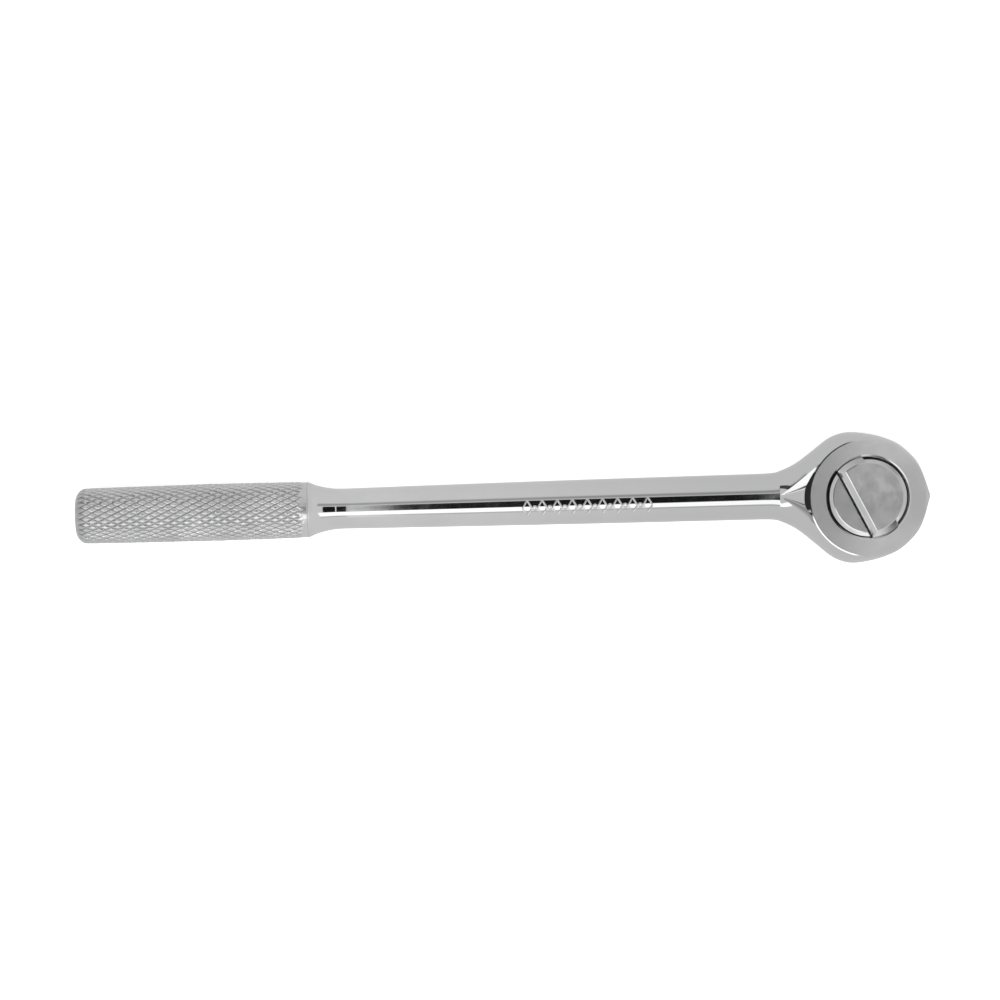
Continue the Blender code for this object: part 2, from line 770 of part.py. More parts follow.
def build_pawl():
    """Drawn halfway through its throw, then rocked back to the rest pose."""
    pivot = (PAWL_PIVOT_X, 0.0, 0.0)
    pawl = prism("pawl", pawl_blank_outline(), PAWL_Z, pivot)
    low = (PAWL_Z[0] - 1.0, PAWL_TIER_Z)
    cutters = [
        prism("cut_pawl_free", disc_outline(GEAR_TIP_R + 0.1, 120), low, pivot),
        prism("cut_pawl_cam", cam_outline(), (PAWL_TIER_Z, PAWL_Z[1] + 1.0), pivot),
    ]
    for label, turn in (("forward", PAWL_ROCK_HALF), ("back", -PAWL_ROCK_HALF)):
        teeth = turned_about_pawl(gear_outline(GEAR_CLEARANCE), turn)
        cutters.append(prism(f"cut_pawl_{label}", teeth, low, pivot))
    rock = math.radians(-PAWL_ROCK_HALF)
    for cutter in cutters:
        cutter.rotation_euler.z = rock
        boolean(pawl, "DIFFERENCE", cutter)
    pawl.rotation_euler.z = rock
    return pawl


def build_seal():
    profile = []
    for step in range(8):
        offset = polar(SEAL_WIRE_R, 45.0 * step)
        profile.append((SEAL_R + offset.x, SEAL_Z + offset.y))
    return ring_body("dial_friction_ring", profile, steps=48)


def finish(obj, look):
    """Give a sub-part its own material, and shade its round faces smooth."""
    obj.data.materials.append(make_material(f"{obj.name}_finish", look))
    if obj.type == "MESH":
        obj.data.shade_smooth()
        obj.data.set_sharp_from_angle(angle=math.radians(35.0))


def main():
    clear_scene()
    finish(build_body(), CHROME)
    finish(build_dial(), DIAL_STEEL)
    finish(build_seal(), BLACK_RUBBER)
    finish(build_plunger(), INNER_STEEL)
    finish(build_plunger_spring(), SPRING_STEEL)
    finish(build_pawl(), INNER_STEEL)
    washer = ring_profile(WASHER_R, WASHER_HOLE_R, WASHER_Z)
    finish(ring_body("thrust_washer", washer), BRONZE)
    finish(build_drive(), DRIVE_STEEL)
    finish(build_ball(), DRIVE_STEEL)
    finish(build_ball_spring(), SPRING_STEEL)
    plate = ring_profile(PLATE_R, PLATE_HOLE_R, PLATE_Z)
    finish(ring_body("cover_plate", plate), DRIVE_STEEL)
    finish(build_retaining_ring(), SPRING_STEEL)


main()
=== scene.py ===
import math

import bmesh
import bpy
import numpy as np
from mathutils import Matrix, Vector, noise


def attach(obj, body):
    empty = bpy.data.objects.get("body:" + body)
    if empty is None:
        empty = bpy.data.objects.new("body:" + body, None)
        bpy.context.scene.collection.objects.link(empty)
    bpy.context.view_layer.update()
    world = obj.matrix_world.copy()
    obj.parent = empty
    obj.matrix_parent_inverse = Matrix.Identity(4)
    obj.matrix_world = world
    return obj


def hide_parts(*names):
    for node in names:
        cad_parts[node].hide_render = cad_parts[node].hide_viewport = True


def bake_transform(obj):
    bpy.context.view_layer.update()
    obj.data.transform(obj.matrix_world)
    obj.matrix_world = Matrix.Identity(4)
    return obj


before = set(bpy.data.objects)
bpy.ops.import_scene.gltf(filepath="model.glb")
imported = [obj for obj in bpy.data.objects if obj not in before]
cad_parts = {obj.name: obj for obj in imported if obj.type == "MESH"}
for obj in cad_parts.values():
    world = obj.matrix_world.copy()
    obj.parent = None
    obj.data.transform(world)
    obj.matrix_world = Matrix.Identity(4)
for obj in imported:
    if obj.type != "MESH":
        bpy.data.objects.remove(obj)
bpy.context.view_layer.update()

MM = 0.001

# Handle, in millimetres along X from the grip's end to the head
MID_Z = 17.6
HANDLE_OFFSET_Y = 0.75
OFFSET_BLEND_X = (-21.0, -2.0)
GRIP_END_X = -173.75
GRIP_END_R = 5.99
GRIP_EDGE_R = 2.4
GRIP_EDGE_STEPS = 14
GRIP_END_DISH = 0.12
GRIP_SWELL_X = -142.0
GRIP_SWELL_R = 6.21
GRIP_STOP_X = -122.7
GRIP_STOP_R = 6.04
GRIP_START_GAP = 0.02
COLLAR_R = 6.04
COLLAR_EDGE = 0.03
COLLAR_CORE = 0.5
COLLAR_END_X = -122.4
SHOULDER_R = 5.99
SHOULDER_SWEEP = 2.58
SHOULDER_BREAK = (-116.5, 0.0454)
SHANK_START_X = -114.2
SHANK_START_R = 4.42
SHANK_END_X = -24.0
SHANK_END_R = 5.04
SHANK_SWELL = 0.1
RING_COUNTS = (4, 60, 90)

# Knurl: crossed helical V grooves
KNURL_STARTS = 28
KNURL_PITCH_X = 2.76
KNURL_SAMPLES = 12
KNURL_DEPTH = 0.25
KNURL_HALF_WIDTH = 0.185
KNURL_FADE = 0.7
KNURL_END_X = -123.7
KNURL_CROWN = 0.05
KNURL_WANDER = (0.35, 2.2, 0.35)
KNURL_CHATTER = (1.7, 9.0, 0.035)
KNURL_NOISE_APART = 9.0

# Head forging: half width and half width of the flat at stations along X
HEAD_BOTTOM_Z = 11.2
NECK_BOTTOM_X = (-24.0, -9.0)
FLANK_START = 40.0
LEAST_FLAT = 0.7
HEAD_STATIONS = (
    (-24.0, 5.04, 0.0),
    (-20.6, 5.15, 0.0),
    (-18.8, 5.6, 0.5),
    (-15.4, 7.25, 3.0),
    (-11.8, 10.0, 6.1),
    (-8.3, 12.8, 9.0),
    (-5.6, 14.05, 11.2),
    (-3.0, 14.4, 12.1),
    (0.5, 14.0, 12.2),
    (4.0, 13.1, 11.3),
    (7.5, 11.45, 9.4),
    (11.0, 8.1, 6.0),
    (12.6, 4.8, 3.0),
    (13.4, 1.9, 1.0),
)
HEAD_TIP_X = 13.7
TIP_ROUND = 2.8
TIP_RINGS = ((0.12, 1.4, 0.7), (0.03, 0.9, 0.4), (0.0, 0.5, 0.2))
STATION_STEP = 0.35
QUARTER_STEPS = (8, 10, 30)

# The scooped top of the neck rises from the shank's crest to the boss
SCOOP_START_X = -19.2
SCOOP_FLOOR_X = -5.8
SCOOP_RIM_X = -13.1
SCOOP_FLOOR_SPREAD = 0.36
HEAD_TOP_Z = 23.82

# Boss round the dial, and the bores in the head
BOSS_R = 12.65
BOSS_TOP_Z = 24.0
BOSS_CHAMFER = (0.27, 0.12)
BOSS_FOOT = 1.37
BOSS_FOOT_Z = 22.85
BOSS_FOOT_BEARING = 171.0
BOSS_FOOT_SPREAD = 27.0
BOSS_FOOT_FADE = (1.15, 0.6)
BOSS_SHIFT_Y = -0.15
DIAL_HOLE_R = 9.0
DIAL_HOLE_CHAMFER = (0.3, 0.045)
BORE_R = 10.6
BORE_TOP_Z = 21.9
PLATE_SEAT_R = 11.4
PLATE_SEAT_Z = 13.35
GROOVE_R = 12.1
GROOVE_Z = (11.65, 12.55)
ROUND_STEPS = 192

# Room for the pawl in the head
PAWL_PIVOT_X = -13.2
PAWL_SEAT_R = 3.08
POCKET_RHO = 7.35
POCKET_ANGLES = (82.2, 47.0)
POCKET_Z = (13.6, 21.7)
POCKET_BACK = ((-0.4, 112.0), (0.12, 112.0))
POCKET_FRONT = (5.4, 3.0)
POCKET_STEPS = 12

# Reverser dial
DIAL_ANGLE = 26.5
DIAL_R = 8.62
DIAL_RAISED_R = 8.22
DIAL_GAP_R = 8.1
DIAL_GAP_SPAN = 71.5
DIAL_WING_R = 8.78
DIAL_WING_START = 71.0
DIAL_FLANGE_R = 9.6
DIAL_FLANGE_Z = (19.35, 21.7)
DIAL_LOW_Z = 24.7
DIAL_HIGH_Z = 26.2
DIAL_LOW_FLAT_R = 7.63
DIAL_HIGH_FLAT_R = 7.37
DIAL_WALL = (-3.5, -2.95)
DIAL_FLAT_EDGE = (0.16, 0.071)
DIAL_CHAMFER_END = -1.89
DIAL_RIM = (0.07, 0.34, 0.23)
DIAL_RAISED_RIM = (0.06, 0.36, 0.26)
DIAL_WING_BLEND = 1.2
DIAL_PILOT_R = 2.95
DIAL_PILOT_TOP_Z = 20.3
LUG_R = 11.0
LUG_HALF = 7.3
SEAL_SEAT_R = 7.95
SEAL_Z = 22.9
PLUNGER_Z = 20.5
PLUNGER_HOLE_R = 0.87
PLUNGER_HOLE_START = 5.0

# Springs, each from the end that stays to the end that its pin or ball pushes
PLUNGER_SPRING_ALONG = (5.1, 8.55)
PLUNGER_SPRING = (0.58, 0.13, 6)
BALL_Z = 4.9
BALL_SPRING_Y = (2.1, -2.06)
BALL_SPRING = (1.2, 0.17, 4)
SPRING_STEPS = 24

# Ornament: a row of raised lozenges and rings along the shank
ORNAMENT_START_X = -74.6
ORNAMENT_PITCH = 3.3
ORNAMENT_COUNT = 9
ORNAMENT_SIDE = -1.1
ORNAMENT_HALF = (1.05, 1.75)
ORNAMENT_BEAD_R = 0.19
ORNAMENT_BEAD_SPREAD = 1.15
ORNAMENT_FILLET = 0.35
ORNAMENT_CIRCLE_R = 0.42

# Metal: scales of its clouds, hairlines, grain and smears per metre, and their relief
CLOUD_SCALE = 90.0
HAIR_STRETCH = (60.0, 2600.0, 2600.0)
GRAIN_SCALE = 2600.0
SMEAR_SCALE = 240.0
RELIEF = 0.00002
LATHE_LINES = 52000.0
LATHE_RELIEF = 0.00001
CHROME_TONES = ((0.82, 0.82, 0.82), (0.78, 0.78, 0.785))
KNURL_TONES = ((0.82, 0.82, 0.82), (0.72, 0.72, 0.725))
SATIN_TONES = ((0.74, 0.74, 0.74), (0.67, 0.67, 0.675))
GROUND_TONES = ((0.62, 0.62, 0.62), (0.54, 0.54, 0.545))
HARD_TONES = ((0.42, 0.42, 0.43), (0.33, 0.33, 0.34))
SPRING_TONES = ((0.32, 0.32, 0.34), (0.22, 0.22, 0.24))
BRONZE_TONES = ((0.56, 0.36, 0.16), (0.42, 0.25, 0.10))
# Painted shade along the foot of the dial's step: its dark tone, shift, reach, rise and patches
STEP_SHADE_TONE = (0.02, 0.02, 0.02, 1.0)
STEP_SHADE_SHIFT = -0.05
STEP_SHADE_REACH = (0.2, 0.52)
STEP_SHADE_RISE = (0.35, 1.0)
STEP_SHADE_PATCHES = (1500.0, 0.3)
# Painted shade in the grip's grooves
GROOVE_SHADE_TONE = (0.10, 0.10, 0.10, 1.0)
FACE_TONE = (0.62, 0.62, 0.62, 1.0)
HEAD_TONE = (0.71, 0.71, 0.715, 1.0)
HEAD_TONE_X = (-100.0, -20.0)

# Surroundings: the even room, then patches painted on it in turn. A patch's spans are
# (low, high, softness at low, softness at high) in degrees, then come its tone and strength.
# side and ahead are tilts from straight up, across and along the handle. bearing turns
# round the vertical from +X toward +Y, and height is above level.
ROOM_HEIGHT = (-60.0, 70.0)
ROOM_TONE = (0.66, 0.68)
RAIL_HEIGHT = (38.0, 50.0, 1.2, 1.2)
SLOT_SIDE = (-13.5, 17.5, 1.6, 1.0)
SLOT_TONE = 0.01
STRIP_REACH = (-3.6, 34.0, 0.6, 2.0)
PATCHES = (
    # a low dark wall beyond the grip, under a dark rail and a bright one
    ({"bearing": (136.0, 198.0, 4.0, 2.5), "height": (6.0, 40.0, 3.0, 2.0)}, 0.03, 1.0),
    ({"bearing": (100.0, 198.0, 6.0, 2.0), "height": RAIL_HEIGHT}, 0.06, 1.0),
    ({"bearing": (201.0, 264.0, 2.0, 4.0), "height": RAIL_HEIGHT}, 1.7, 1.0),
    # a bright patch overhead that the lip of the dial's hole mirrors
    ({"ahead": (-11.0, -3.4, 1.5, 0.2), "side": (5.0, 20.0, 1.5, 3.0)}, 1.3, 1.0),
    # what the level faces of the head mirror
    ({"ahead": (4.2, 14.0, 0.2, 3.0), "side": (-20.0, 20.0, 6.0, 6.0)}, 0.78, 1.0),
    # strips along the handle: soft grey, white, a thin grey line, and a black slot in two
    ({"ahead": STRIP_REACH, "side": (-30.0, -18.0, 5.0, 4.0)}, 0.2, 0.7),
    ({"ahead": (-4.6, 32.5, 0.5, 2.0), "side": (18.6, 38.5, 1.0, 2.0)}, 1.35, 1.0),
    ({"ahead": STRIP_REACH, "side": (41.0, 45.5, 1.5, 1.5)}, 0.3, 0.5),
    ({"ahead": (-2.5, 4.1, 0.3, 0.06), "side": SLOT_SIDE}, SLOT_TONE, 1.0),
    ({"ahead": (9.3, 25.0, 0.4, 1.0), "side": SLOT_SIDE}, SLOT_TONE, 1.0),
)

# Table in millimetres, and the soft panel above it in metres
TABLE_TOUCH_X = -4.06
TABLE_REST_INSET = 1.4
TABLE_REST_LIFT = 0.15
TABLE_HALF = 1500.0
TABLE_GLOW = 0.62
PANEL_SIZE = (0.9, 0.7)
PANEL_ENERGY = 3.0
PANEL_PLACE = (-0.25, -0.35, 0.9)
PANEL_AIM_Z = 0.015

# Framing
VIEW_X = -80.5
VIEW_Y = 1.67
VIEW_HEIGHT = 900.0
VIEW_WIDTH = 220.0
VIEW_ROLL = 1.65
SENSOR = 36.0


def polar(radius, degrees):
    angle = math.radians(degrees)
    return Vector((radius * math.cos(angle), radius * math.sin(angle)))


def eased(value):
    value = min(max(value, 0.0), 1.0)
    return value * value * (3.0 - 2.0 * value)


def blend_between(x, limits):
    start, end = limits
    return eased((x - start) / (end - start))


# ---------------------------------------------------------------- meshes


def ring_mesh(name, rings, closed=False):
    """A closed mesh through rings of equal point count, in millimetres."""
    count = len(rings[0])
    points = [tuple(Vector(point) * MM) for ring in rings for point in ring]
    faces = []
    last = len(rings) if closed else len(rings) - 1
    for level in range(last):
        low = level * count
        high = ((level + 1) % len(rings)) * count
        for step in range(count):
            after = (step + 1) % count
            faces.append((low + step, low + after, high + after, high + step))
    if not closed:
        faces.append(tuple(reversed(range(count))))
        faces.append(tuple(range((len(rings) - 1) * count, len(rings) * count)))
    mesh = bpy.data.meshes.new(name)
    mesh.from_pydata(points, [], faces)
    bm = bmesh.new()
    bm.from_mesh(mesh)
    bmesh.ops.recalc_face_normals(bm, faces=bm.faces[:])
    bm.to_mesh(mesh)
    bm.free()
    obj = bpy.data.objects.new(name, mesh)
    bpy.context.collection.objects.link(obj)
    return obj


def turned(name, profile, steps=ROUND_STEPS, place=None):
    """A solid turned about Z through (radius, height) pairs."""
    place = place or Matrix.Identity(4)
    rings = []
    for radius, height in profile:
        ring = []
        for step in range(steps):
            x, y = polar(radius, 360.0 * (step + 0.5) / steps)
            ring.append(place @ Vector((x, y, height)))
        rings.append(ring)
    return ring_mesh(name, rings)


def prism(name, outline, z_range):
    rings = [[(point[0], point[1], z) for point in outline] for z in z_range]
    return ring_mesh(name, rings)


def apply_booleans(target, steps):
    """Join or cut target with each tool in turn, and delete the tools."""
    for operation, tool in steps:
        modifier = target.modifiers.new(tool.name, "BOOLEAN")
        modifier.operation = operation
        modifier.solver = "EXACT"
        modifier.object = tool
    bpy.context.view_layer.update()
    graph = bpy.context.evaluated_depsgraph_get()
    mesh = bpy.data.meshes.new_from_object(target.evaluated_get(graph))
    target.modifiers.clear()
    target.data = mesh
    for _, tool in steps:
        bpy.data.objects.remove(tool)
    return target


def shade(obj, degrees=30.0):
    """Smooth the round faces, and leave the level ones flat."""
    obj.data.shade_smooth()
    obj.data.set_sharp_from_angle(angle=math.radians(degrees))
    for face in obj.data.polygons:
        if abs(face.normal.z) > 0.9999:
            face.use_smooth = False


# ---------------------------------------------------------------- body


def quarter_section(half_width, flat, floor_z, rim_z):
    """Points (across, up) of an ellipse whose crest is scooped out to the rims.

    The scoop has a level floor and slopes up to a rim at each side, at flat.
    """
    floor_steps, rim_steps, flank_steps = QUARTER_STEPS
    edge = min(max(flat, LEAST_FLAT), half_width * 0.8)
    floor = edge * SCOOP_FLOOR_SPREAD
    across = [floor * (step + 0.5) / floor_steps for step in range(floor_steps)]
    across += [floor + (edge - floor) * step / (rim_steps - 1.0) for step in range(rim_steps)]
    start = math.radians(FLANK_START)
    reach = (half_width - edge) / (1.0 - math.sin(start))
    for step in range(flank_steps):
        turn = start + (math.pi / 2.0 - start) * (step + 0.5) / flank_steps
        across.append(half_width - reach * (1.0 - math.sin(turn)))
    up = rim_z / math.sqrt(1.0 - (flat / half_width) ** 2)
    points = []
    for y in across:
        z = up * math.sqrt(1.0 - (y / half_width) ** 2)
        if y < flat + 0.0001:
            lift = min(max((y - floor) / (flat - floor), 0.0), 1.0) ** 1.5
            z = min(z, floor_z + (rim_z - floor_z) * lift)
        points.append(Vector((y, z)))
    return points


def place_section(x, upper, lower):
    """Mirror two quarters of (across, distance from mid height) into a section."""
    middle = HANDLE_OFFSET_Y * (1.0 - blend_between(x, OFFSET_BLEND_X))
    outline = [(point.x, point.y) for point in reversed(upper)]
    outline += [(-point.x, point.y) for point in upper]
    outline += [(-point.x, -point.y) for point in reversed(lower)]
    outline += [(point.x, -point.y) for point in lower]
    return [(x, middle + y, MID_Z + z) for y, z in outline]


def round_section(x, radius, swell=0.0):
    quarter = quarter_section(radius + swell, 0.0, radius, radius)
    return place_section(x, quarter, quarter)


def spline_between(points, index, part):
    last = len(points) - 1
    before = points[max(index - 1, 0)]
    start = points[index]
    end = points[index + 1]
    after = points[min(index + 2, last)]
    values = []
    for a, b, c, d in zip(before, start, end, after):
        value = 2.0 * b + (c - a) * part
        value += (2.0 * a - 5.0 * b + 4.0 * c - d) * part**2
        value += (3.0 * b - a - 3.0 * c + d) * part**3
        values.append(value / 2.0)
    return values


def rising(x, end_x):
    """Height above mid height of a ramp from the shank's crest to the head's top."""
    part = min(max((x - SCOOP_START_X) / (end_x - SCOOP_START_X), 0.0), 1.0)
    return SHANK_END_R + (HEAD_TOP_Z - MID_Z - SHANK_END_R) * part


def head_section(x, half_width, flat):
    past = (x - (HEAD_TIP_X - TIP_ROUND)) / TIP_ROUND
    drop = TIP_ROUND * (1.0 - math.sqrt(1.0 - min(max(past, 0.0), 0.97) ** 2))
    flat = max(flat, 0.0) if x > SCOOP_START_X else 0.0
    upper = quarter_section(
        half_width,
        flat,
        rising(x, SCOOP_FLOOR_X) - drop,
        rising(x, SCOOP_RIM_X) - drop,
    )
    down = SHANK_END_R - drop
    down += (MID_Z - HEAD_BOTTOM_Z - SHANK_END_R) * blend_between(x, NECK_BOTTOM_X)
    lower = quarter_section(half_width, flat, down, down)
    return place_section(x, upper, lower)


def station_at(x):
    """Half width and flat at x, on the spline through the stations."""
    index = 0
    while index < len(HEAD_STATIONS) - 2 and HEAD_STATIONS[index + 1][0] < x:
        index += 1
    low, high = 0.0, 1.0
    for _ in range(30):
        middle = (low + high) / 2.0
        if spline_between(HEAD_STATIONS, index, middle)[0] < x:
            low = middle
        else:
            high = middle
    return spline_between(HEAD_STATIONS, index, low)[1:]


def shank_radius(x):
    if x < COLLAR_END_X:
        return COLLAR_R
    part = (x - COLLAR_END_X) / (SHANK_START_X - COLLAR_END_X)
    if part < 1.0:
        break_x, slope = SHOULDER_BREAK
        rise = SHOULDER_R - SHANK_START_R - slope * (break_x - COLLAR_END_X)
        straight = slope * max(break_x - x, 0.0)
        return SHANK_START_R + rise * (1.0 - part) ** SHOULDER_SWEEP + straight
    part = (x - SHANK_START_X) / (SHANK_END_X - SHANK_START_X)
    return SHANK_START_R + (SHANK_END_R - SHANK_START_R) * part


def shank_rings():
    """Sections from the collar to the tip of the head."""
    collar_count, shoulder_count, shank_count = RING_COUNTS
    rings = [round_section(GRIP_STOP_X, COLLAR_R - out) for out in (COLLAR_CORE, COLLAR_EDGE)]
    collar_start = GRIP_STOP_X + COLLAR_EDGE
    collar_length = COLLAR_END_X - COLLAR_EDGE - 0.01 - collar_start
    for step in range(collar_count):
        x = collar_start + collar_length * step / (collar_count - 1)
        rings.append(round_section(x, COLLAR_R))
    for step in range(1, shoulder_count + 1):
        x = COLLAR_END_X + (SHANK_START_X - COLLAR_END_X) * step / shoulder_count
        rings.append(round_section(x, shank_radius(x)))
    for step in range(1, shank_count):
        part = step / shank_count
        x = SHANK_START_X + (SHANK_END_X - SHANK_START_X) * part
        rings.append(round_section(x, shank_radius(x), SHANK_SWELL * math.sin(part * math.pi)))
    start_x = HEAD_STATIONS[0][0]
    end_x = HEAD_STATIONS[-1][0]
    count = int((end_x - start_x) / STATION_STEP)
    stops = [start_x + (end_x - start_x) * step / count for step in range(count + 1)]
    stops += [SCOOP_START_X - 0.015, SCOOP_START_X + 0.015]
    for x in sorted(stops):
        rings.append(head_section(x, *station_at(x)))
    for inset, half_width, flat in TIP_RINGS:
        rings.append(head_section(HEAD_TIP_X - inset, half_width, flat))
    return rings


def mirrored(points):
    """The points, then their mirror images back to the start."""
    return points + [Vector((point.x, -point.y)) for point in reversed(points)]


def pawl_point(rho, degrees):
    """A point at a distance and bearing from the pawl's pivot."""
    offset = polar(rho, degrees)
    return Vector((PAWL_PIVOT_X + offset.x, offset.y))


def pocket_outline():
    """Outline of the pawl's pocket, round the pawl's pivot."""
    half = [pawl_point(PAWL_SEAT_R + out, degrees) for out, degrees in POCKET_BACK]
    start, end = POCKET_ANGLES
    for step in range(POCKET_STEPS + 1):
        half.append(pawl_point(POCKET_RHO, start + (end - start) * step / POCKET_STEPS))
    half.append(Vector((PAWL_PIVOT_X + POCKET_FRONT[0], POCKET_FRONT[1])))
    return mirrored(half)


def build_boss():
    """The round boss; its foot spreads out toward the neck only."""
    chamfer_out, chamfer_down = BOSS_CHAMFER
    reach, fade = BOSS_FOOT_FADE
    levels = (
        (-1.5, 0.0, BOSS_FOOT_Z - 3.0),
        (chamfer_out, 1.0, BOSS_FOOT_Z - 1.8),
        (chamfer_out, 1.0, BOSS_FOOT_Z),
        (chamfer_out, 0.0, BOSS_TOP_Z - chamfer_down),
        (0.0, 0.0, BOSS_TOP_Z),
    )
    rings = []
    for out, foot, z in levels:
        ring = []
        for step in range(ROUND_STEPS):
            bearing = 360.0 * (step + 0.5) / ROUND_STEPS
            away = abs(bearing - BOSS_FOOT_BEARING) / BOSS_FOOT_SPREAD
            spread = BOSS_FOOT * eased((reach - away) / fade)
            point = polar(BOSS_R + out + foot * spread, bearing)
            ring.append((point.x, point.y + BOSS_SHIFT_Y, z))
        rings.append(ring)
    return ring_mesh("join_boss", rings)


def build_body():
    body = ring_mesh("forged_body", shank_rings())
    boss = build_boss()
    hole_out, hole_down = DIAL_HOLE_CHAMFER
    bore = turned(
        "cut_bore",
        (
            (PLATE_SEAT_R + 0.3, HEAD_BOTTOM_Z - 1.0),
            (PLATE_SEAT_R + 0.3, HEAD_BOTTOM_Z + 0.1),
            (PLATE_SEAT_R, HEAD_BOTTOM_Z + 0.35),
            (PLATE_SEAT_R, GROOVE_Z[0]),
            (GROOVE_R, GROOVE_Z[0]),
            (GROOVE_R, GROOVE_Z[1]),
            (PLATE_SEAT_R, GROOVE_Z[1]),
            (PLATE_SEAT_R, PLATE_SEAT_Z),
            (BORE_R, PLATE_SEAT_Z),
            (BORE_R, BORE_TOP_Z),
            (DIAL_HOLE_R, BORE_TOP_Z),
            (DIAL_HOLE_R, BOSS_TOP_Z - hole_down),
            (DIAL_HOLE_R + hole_out, BOSS_TOP_Z),
            (DIAL_HOLE_R + hole_out, BOSS_TOP_Z + 1.0),
        ),
    )
    seat = turned(
        "cut_seat",
        ((PAWL_SEAT_R, POCKET_Z[0]), (PAWL_SEAT_R, POCKET_Z[1])),
        steps=64,
        place=Matrix.Translation((PAWL_PIVOT_X, 0.0, 0.0)),
    )
    pocket = prism("cut_pocket", pocket_outline(), POCKET_Z)
    cuts = [("UNION", boss), ("DIFFERENCE", bore), ("DIFFERENCE", seat)]
    apply_booleans(body, cuts + [("DIFFERENCE", pocket)])
    shade(body, 14.0)
    return body


# ---------------------------------------------------------------- grip


def groove_depth(phase):
    """V groove across a phase counted in pitches, 1 at its bottom."""
    away = abs(phase - np.round(phase))
    return np.clip(1.0 - away / KNURL_HALF_WIDTH, 0.0, 1.0)


def grip_profile():
    """(x, radius) pairs from the collar to the middle of the rounded end."""
    start_x = GRIP_STOP_X - GRIP_START_GAP
    step_x = KNURL_PITCH_X / KNURL_SAMPLES
    count = int((start_x - (GRIP_END_X + GRIP_EDGE_R)) / step_x)
    profile = [(start_x, COLLAR_R - COLLAR_CORE)]
    for index in range(count + 1):
        x = start_x - step_x * index
        if x > GRIP_SWELL_X:
            part = (x - GRIP_SWELL_X) / (GRIP_STOP_X - GRIP_SWELL_X)
            radius = GRIP_SWELL_R + (GRIP_STOP_R - GRIP_SWELL_R) * part**2
        else:
            part = (GRIP_SWELL_X - x) / (GRIP_SWELL_X - GRIP_END_X)
            radius = GRIP_SWELL_R + (GRIP_END_R - GRIP_SWELL_R) * part**1.5
        profile.append((x, radius))
    last_x, last_r = profile[-1]
    reach = last_x - GRIP_END_X
    for step in range(1, GRIP_EDGE_STEPS + 1):
        angle = math.radians(90.0 * step / GRIP_EDGE_STEPS)
        profile.append((last_x - reach * math.sin(angle), last_r - reach * (1.0 - math.cos(angle))))
    flat_r = profile[-1][1]
    for part in (0.75, 0.45, 0.15):
        profile.append((GRIP_END_X - GRIP_END_DISH * (1.0 - part), flat_r * part))
    return profile


def noise_round(along, scale, turns):
    """Smooth noise round the grip at one place along it."""
    values = []
    for turn in turns:
        place = (along, math.cos(math.tau * turn) * scale, math.sin(math.tau * turn) * scale)
        values.append(noise.noise(Vector(place)))
    return np.array(values)


def build_grip():
    around = KNURL_STARTS * KNURL_SAMPLES
    turns = np.arange(around) / around
    wander_x, wander_round, wander_depth = KNURL_WANDER
    chatter_x, chatter_round, chatter_depth = KNURL_CHATTER
    rings = []
    grooves = []
    for x, radius in grip_profile():
        along = x / KNURL_PITCH_X
        left = groove_depth(KNURL_STARTS * turns + along)
        right = groove_depth(KNURL_STARTS * turns - along)
        depth = np.maximum(left, right)
        wander = noise_round(x * wander_x, wander_round, turns)
        chatter = noise_round(x * chatter_x + KNURL_NOISE_APART, chatter_round, turns)
        fade = np.clip((KNURL_END_X + 0.5 * wander - x) / KNURL_FADE, 0.0, 1.0)
        fade = fade * eased((radius - (GRIP_END_R - 1.1)) / 0.9)
        cut = depth * KNURL_DEPTH * (1.0 + wander_depth * wander) + chatter_depth * chatter
        crown = KNURL_CROWN * (1.0 - depth) * (1.0 + wander)
        reach_out = radius - fade * (cut - crown)
        ring = np.stack(
            [
                np.full(around, x),
                HANDLE_OFFSET_Y + reach_out * np.cos(math.tau * turns),
                MID_Z + reach_out * np.sin(math.tau * turns),
            ],
            axis=1,
        )
        rings.append(ring)
        grooves.append(depth * fade)
    grip = ring_mesh("knurled_grip", rings)
    attribute = grip.data.attributes.new("groove", "FLOAT", "POINT")
    attribute.data.foreach_set("value", np.concatenate(grooves).astype(np.float32))
    grip.data.shade_smooth()
    return grip


# ---------------------------------------------------------------- dial


def raised_outline(radius, chord, wing_radius, steps=220):
    """D outline in the dial's own frame, with its chord at x = chord.

    The arc widens from radius to wing_radius toward its two ends.
    """
    limits = (DIAL_WING_START - DIAL_WING_BLEND, DIAL_WING_START + DIAL_WING_BLEND)
    end = math.degrees(math.acos(chord / radius))
    points = []
    for step in range(steps):
        angle = -end + 2.0 * end * step / (steps - 1)
        away = abs(angle)
        lift = blend_between(away, limits)
        reach = radius + (wing_radius - radius) * lift
        point = polar(reach, angle)
        points.append(Vector((max(point.x, chord), point.y)))
    top = points[-1]
    bottom = points[0]
    for step in range(1, 40):
        points.append(top.lerp(bottom, step / 40.0))
    return points


